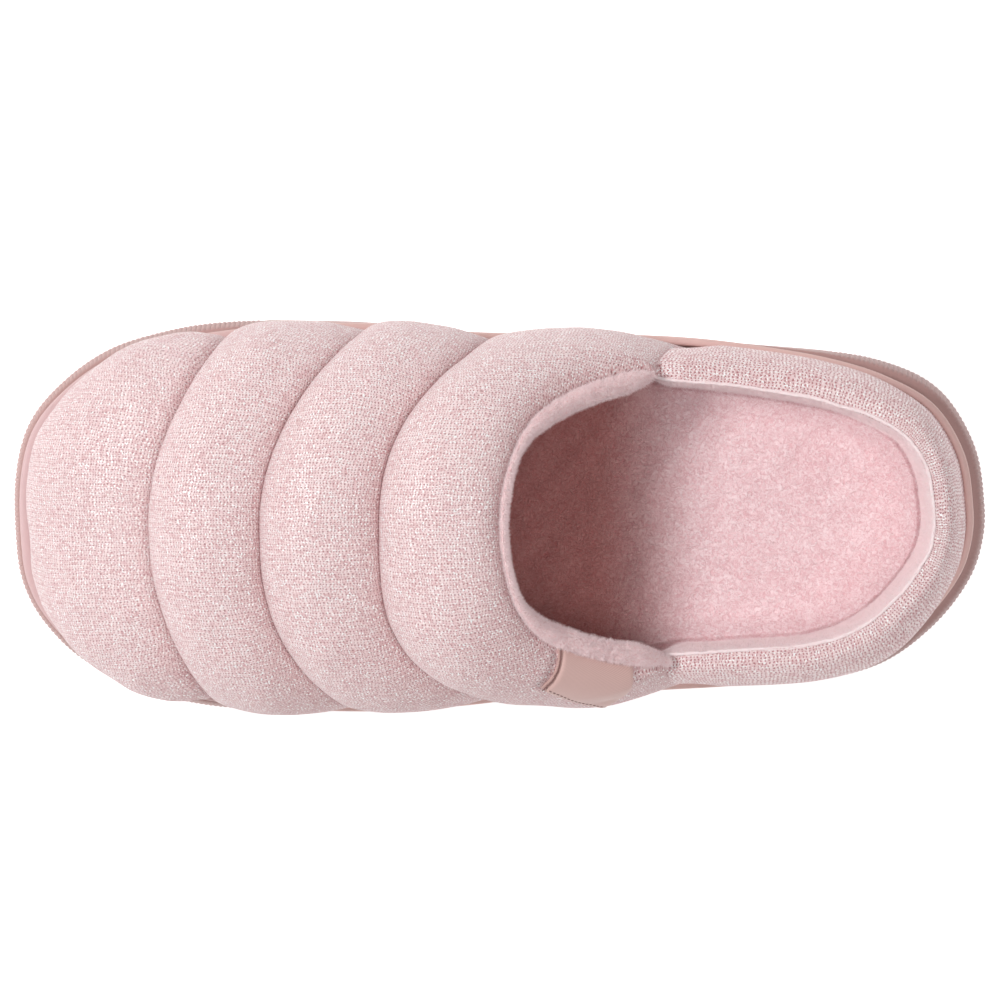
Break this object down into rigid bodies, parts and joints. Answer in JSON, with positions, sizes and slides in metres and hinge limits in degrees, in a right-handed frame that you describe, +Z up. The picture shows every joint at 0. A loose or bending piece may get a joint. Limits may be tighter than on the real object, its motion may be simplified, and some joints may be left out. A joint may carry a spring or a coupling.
{
  "type": "scuff slipper",
  "caption": "Left scuff slipper with a quilted puffer upper open at the throat, a low padded heel collar, a plush footbed and a moulded cup sole with a ribbed toe and heel",
  "frame": {"origin": "on the floor, under the middle of the shoe's length and width, as the slipper stands on its sole", "axes": "+X to the toe, +Y to the outer side of the left foot, +Z up"},
  "size_m": [0.2706, 0.1091, 0.0829],
  "materials": {
    "sole_rubber": "satin moulded dusty rose rubber",
    "insole_terry": "short pink plush over foam",
    "upper_knit": "pink heathered stocking knit with a thin silver yarn, padded",
    "collar_knit": "pink heathered stocking knit with a thin silver yarn, padded",
    "lining_plush": "soft pink fleece plush",
    "binding_plush": "soft pink fleece plush",
    "tab_ribbon": "matte dusty rose ribbon"
  },
  "bodies": {
    "root": {"sole": "sole_rubber", "insole": "insole_terry", "upper": "upper_knit", "heel_collar": "collar_knit", "collar_lining": "lining_plush", "throat_binding": "binding_plush", "side_tab": "tab_ribbon"}
  },
  "joints": []
}
